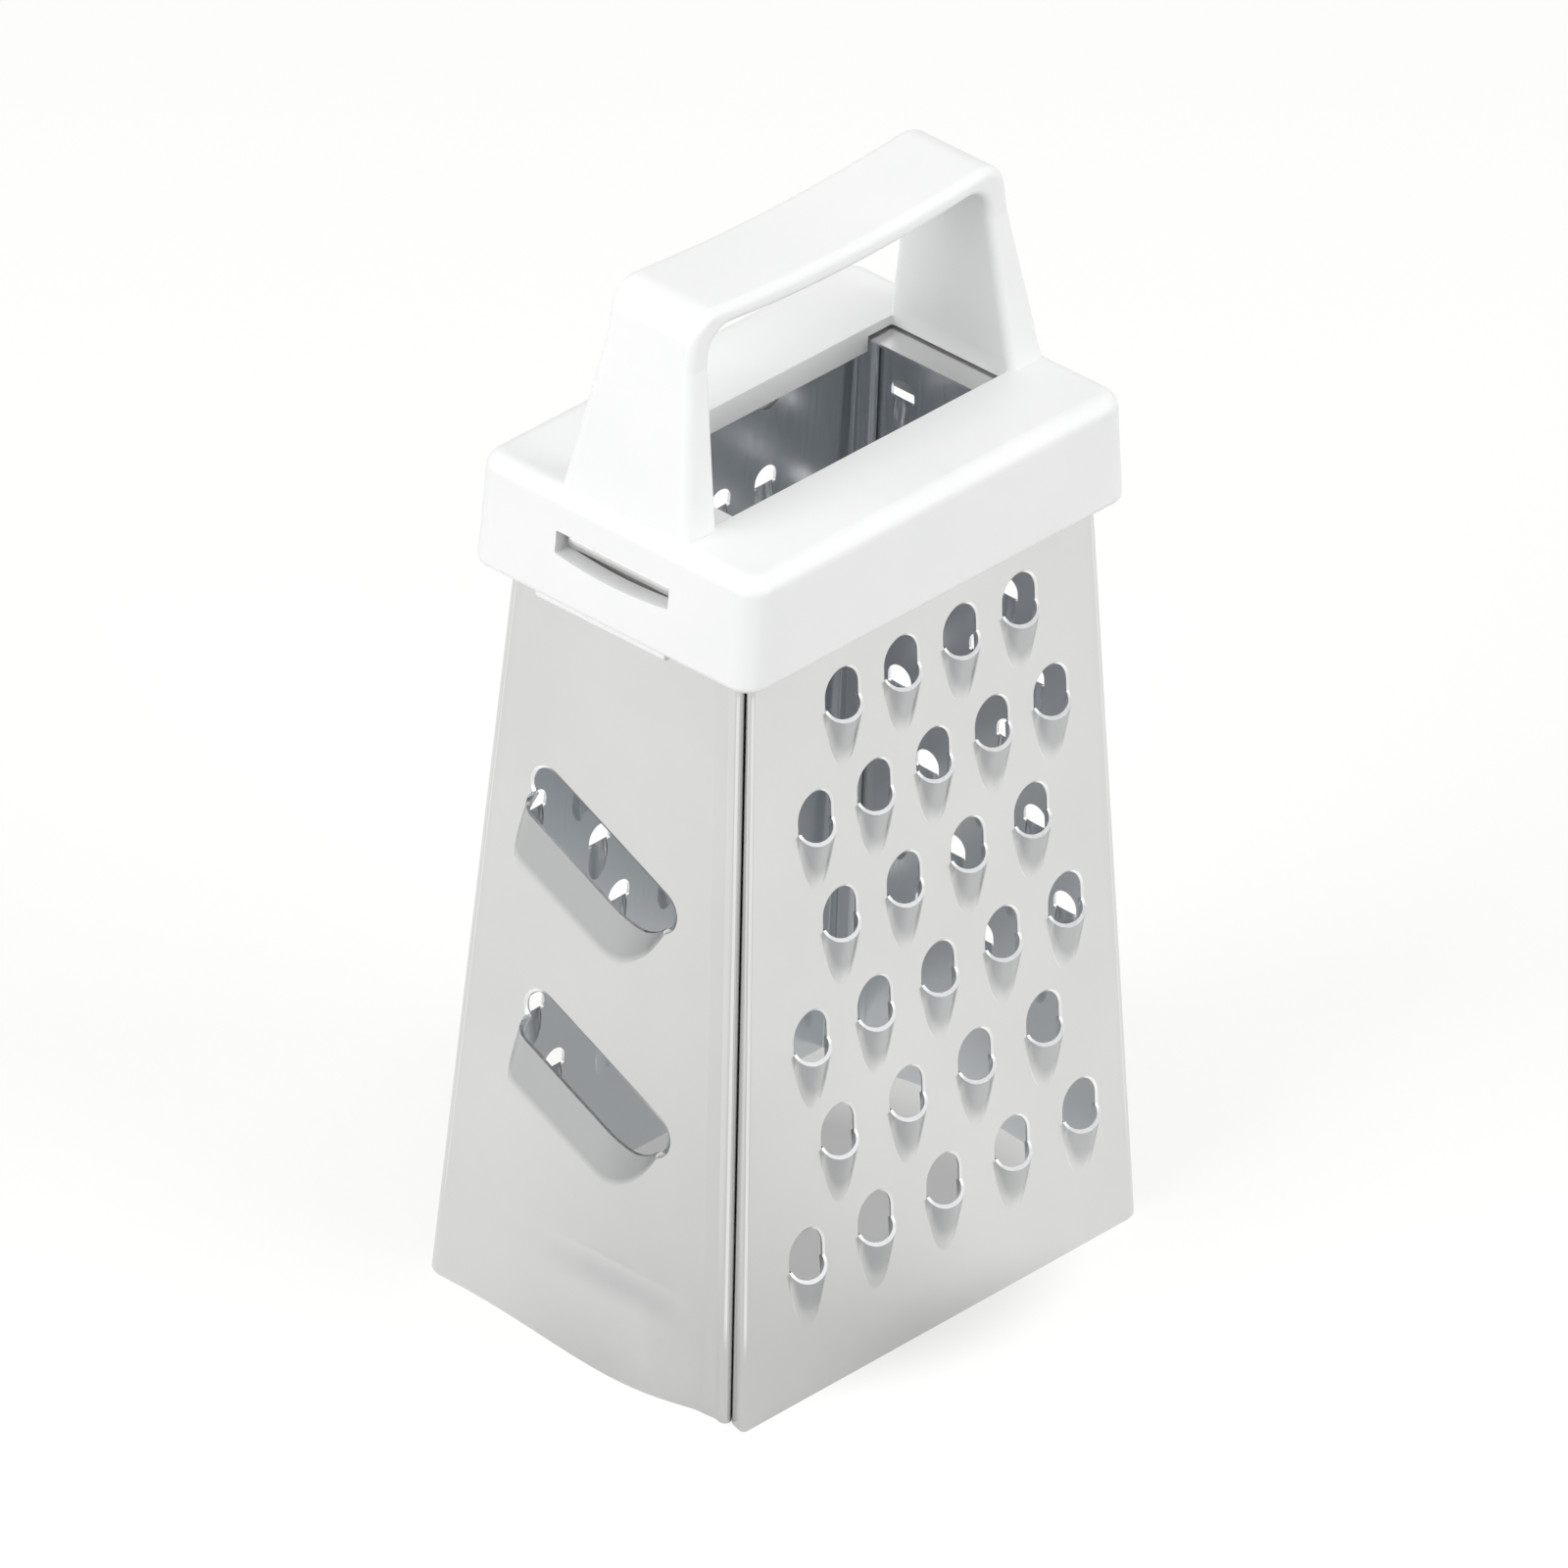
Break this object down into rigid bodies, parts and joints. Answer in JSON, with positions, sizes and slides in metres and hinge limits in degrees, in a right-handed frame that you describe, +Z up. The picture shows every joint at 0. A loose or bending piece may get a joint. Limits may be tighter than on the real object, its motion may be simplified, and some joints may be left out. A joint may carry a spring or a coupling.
{
  "type": "box grater",
  "caption": "Small four-sided box grater: folded steel body with coarse scoops, fine teeth and slanted slicing slots, under a white moulded cap with a strap handle.",
  "frame": {"origin": "middle of the base, on the surface that the grater stands on", "axes": "+X along the wide walls towards the hidden short wall, +Y from the coarse wall to the fine wall, +Z up through the handle"},
  "size_m": [0.0528, 0.0376, 0.0996],
  "materials": {
    "steel": "satin rolled sheet",
    "white_plastic": "smooth semi-matt moulding, slightly translucent"
  },
  "bodies": {
    "root": {"front_right_sheet": "steel", "rear_left_sheet": "steel", "handle_cap": "white_plastic"}
  },
  "joints": []
}
